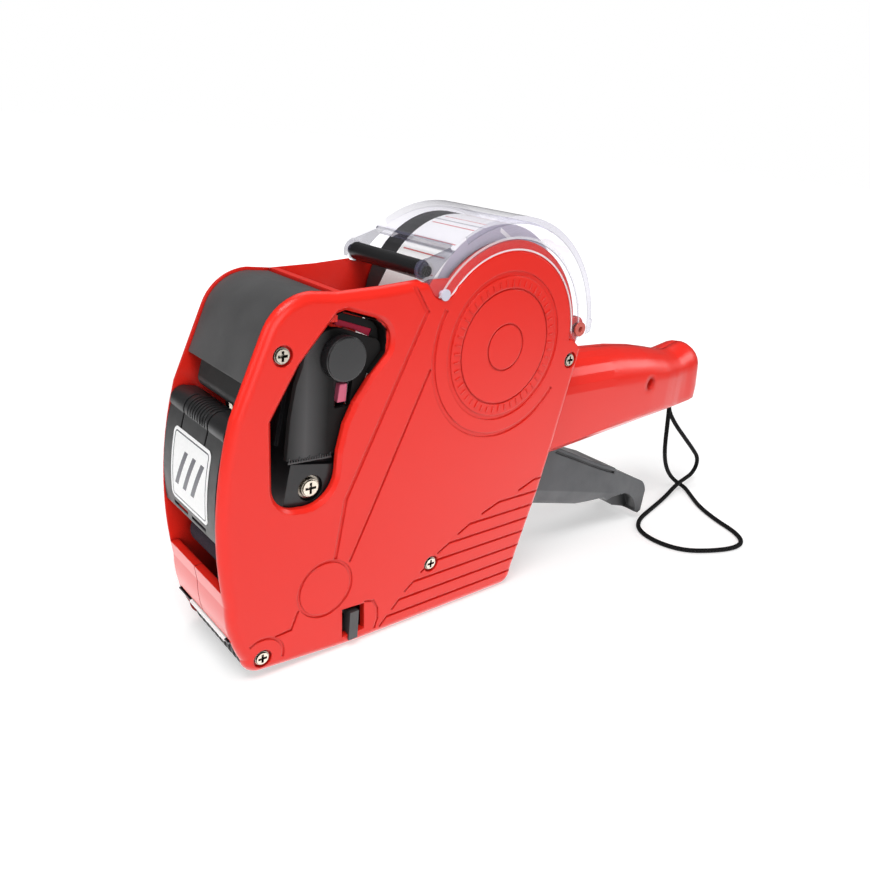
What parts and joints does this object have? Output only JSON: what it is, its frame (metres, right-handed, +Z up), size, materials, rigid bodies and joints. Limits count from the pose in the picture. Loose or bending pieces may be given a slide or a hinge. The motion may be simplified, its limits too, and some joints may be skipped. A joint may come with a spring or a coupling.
{
  "type": "price labeler",
  "caption": "Hand-held label gun with squeeze lever, print head behind a side window, clear hinged cover over a label roll, rounded nose, long handle and wrist strap.",
  "frame": {"origin": "middle of the body's outer box in plan, at the level of the flat base, strap left out", "axes": "+X from the nose to the end of the handle, -Y towards the side with the print window, +Z up"},
  "size_m": [0.2465, 0.0681, 0.1232],
  "materials": {
    "red_shell": "satin moulded",
    "black_plastic": "fine texture",
    "grey_lever": "fine texture",
    "clear_cover": "clear moulded plastic",
    "steel": "satin",
    "bright_metal": "polished",
    "black_rubber": "matt",
    "band_rubber": "matt",
    "ink_felt": "soaked felt",
    "label_paper": "coated paper",
    "index_red": "gloss",
    "pointer_pink": "gloss",
    "strap_cord": "braided"
  },
  "bodies": {
    "case": {"case_near": "red_shell", "case_far": "red_shell", "case_screws": "bright_metal", "top_cap": "black_plastic", "front_cover_pin": "steel", "platen_block": "black_plastic", "platen_pad": "black_rubber", "peel_plate": "bright_metal", "web_guide_pins": "steel", "label_web": "label_paper", "applicator_axle": "steel", "lever_shaft": "steel", "return_spring": "steel", "spring_post": "black_plastic", "cover_hinge_pin": "red_shell", "feed_shaft": "steel", "feed_pawl": "steel", "pinch_axle": "steel", "bottom_hinge_pin": "steel", "strap_pin": "steel", "wrist_strap": "strap_cord"},
    "lever": {"hand_lever": "grey_lever", "yoke_near": "black_plastic", "yoke_far": "black_plastic", "yoke_bar": "black_plastic", "print_head": "black_plastic", "digit_bands": "band_rubber", "band_wheels": "black_plastic", "print_bar": "black_plastic", "head_screws": "bright_metal", "band_index": "index_red"},
    "selector": {"selector_shaft": "black_plastic", "selector_pointer": "pointer_pink"},
    "selector_knob": {"selector_knob": "black_plastic"},
    "label_cover": {"label_cover": "clear_cover", "cover_rivets": "bright_metal", "guide_axle": "steel"},
    "guide_bar": {"guide_bar": "black_plastic"},
    "label_roll": {"label_roll": "label_paper", "roll_hub": "black_plastic"},
    "feed_wheel": {"feed_wheel": "black_plastic"},
    "pinch_roller": {"pinch_roller": "black_rubber"},
    "front_cover": {"front_cover": "black_plastic", "cover_clip": "bright_metal"},
    "bottom_cover": {"bottom_cover": "black_plastic"},
    "cover_latch": {"cover_latch": "black_plastic"},
    "ink_arm": {"ink_arm": "steel", "ink_axle": "steel"},
    "ink_roller": {"ink_roller": "ink_felt"},
    "applicator_roller": {"applicator_roller": "black_rubber"}
  },
  "joints": [
    {"name": "lever_squeeze", "type": "hinge", "parent": "case", "child": "lever", "pos_m": [0.0012, 0, 0.044], "axis": [0, -1, 0], "range_deg": [0, 18], "stiffness_Nm_per_rad": 0.3, "springref_deg": -34.38, "deforming": ["return_spring"]},
    {"name": "selector_pull", "type": "slide", "parent": "lever", "child": "selector", "axis": [0, -1, 0], "range_m": [0, 0.016]},
    {"name": "selector_turn", "type": "hinge", "parent": "selector", "child": "selector_knob", "pos_m": [-0.0751, 0, 0.0882], "axis": [0, 1, 0], "continuous": true},
    {"name": "label_cover_open", "type": "hinge", "parent": "case", "child": "label_cover", "pos_m": [0.0134, 0, 0.0882], "axis": [0, 1, 0], "range_deg": [0, 65]},
    {"name": "guide_bar_spin", "type": "hinge", "parent": "label_cover", "child": "guide_bar", "pos_m": [-0.0504, 0, 0.1089], "axis": [0, 1, 0], "continuous": true},
    {"name": "label_roll_spin", "type": "hinge", "parent": "case", "child": "label_roll", "pos_m": [-0.02, 0, 0.0936], "axis": [0, 1, 0], "continuous": true},
    {"name": "feed_wheel_spin", "type": "hinge", "parent": "case", "child": "feed_wheel", "pos_m": [-0.0506, 0, 0.02], "axis": [0, 1, 0], "continuous": true},
    {"name": "pinch_roller_spin", "type": "hinge", "parent": "case", "child": "pinch_roller", "pos_m": [-0.0506, 0, 0.0092], "axis": [0, 1, 0], "continuous": true},
    {"name": "front_cover_open", "type": "hinge", "parent": "case", "child": "front_cover", "pos_m": [-0.1066, 0, 0.0452], "axis": [0, -1, 0], "range_deg": [0, 80]},
    {"name": "bottom_cover_open", "type": "hinge", "parent": "case", "child": "bottom_cover", "pos_m": [-0.0883, 0, 0.0044], "axis": [0, 1, 0], "range_deg": [0, 70]},
    {"name": "cover_latch_slide", "type": "slide", "parent": "case", "child": "cover_latch", "axis": [1, 0, 0], "range_m": [0, 0.002], "stiffness_N_per_m": 150, "springref_m": -0.003},
    {"name": "ink_arm_swing", "type": "hinge", "parent": "case", "child": "ink_arm", "pos_m": [-0.1003, 0, 0.062], "axis": [0, -1, 0], "range_deg": [0, 5], "stiffness_Nm_per_rad": 0.02, "springref_deg": -17.19},
    {"name": "ink_roller_spin", "type": "hinge", "parent": "ink_arm", "child": "ink_roller", "pos_m": [-0.099, 0, 0.0342], "axis": [0, 1, 0], "continuous": true},
    {"name": "applicator_spin", "type": "hinge", "parent": "case", "child": "applicator_roller", "pos_m": [-0.0973, 0, 0.0067], "axis": [0, 1, 0], "continuous": true}
  ],
  "couplings": [
    {"joint": "feed_wheel_spin", "follows": "label_roll_spin", "ratio": 4.1875},
    {"joint": "pinch_roller_spin", "follows": "label_roll_spin", "ratio": -6.7}
  ]
}
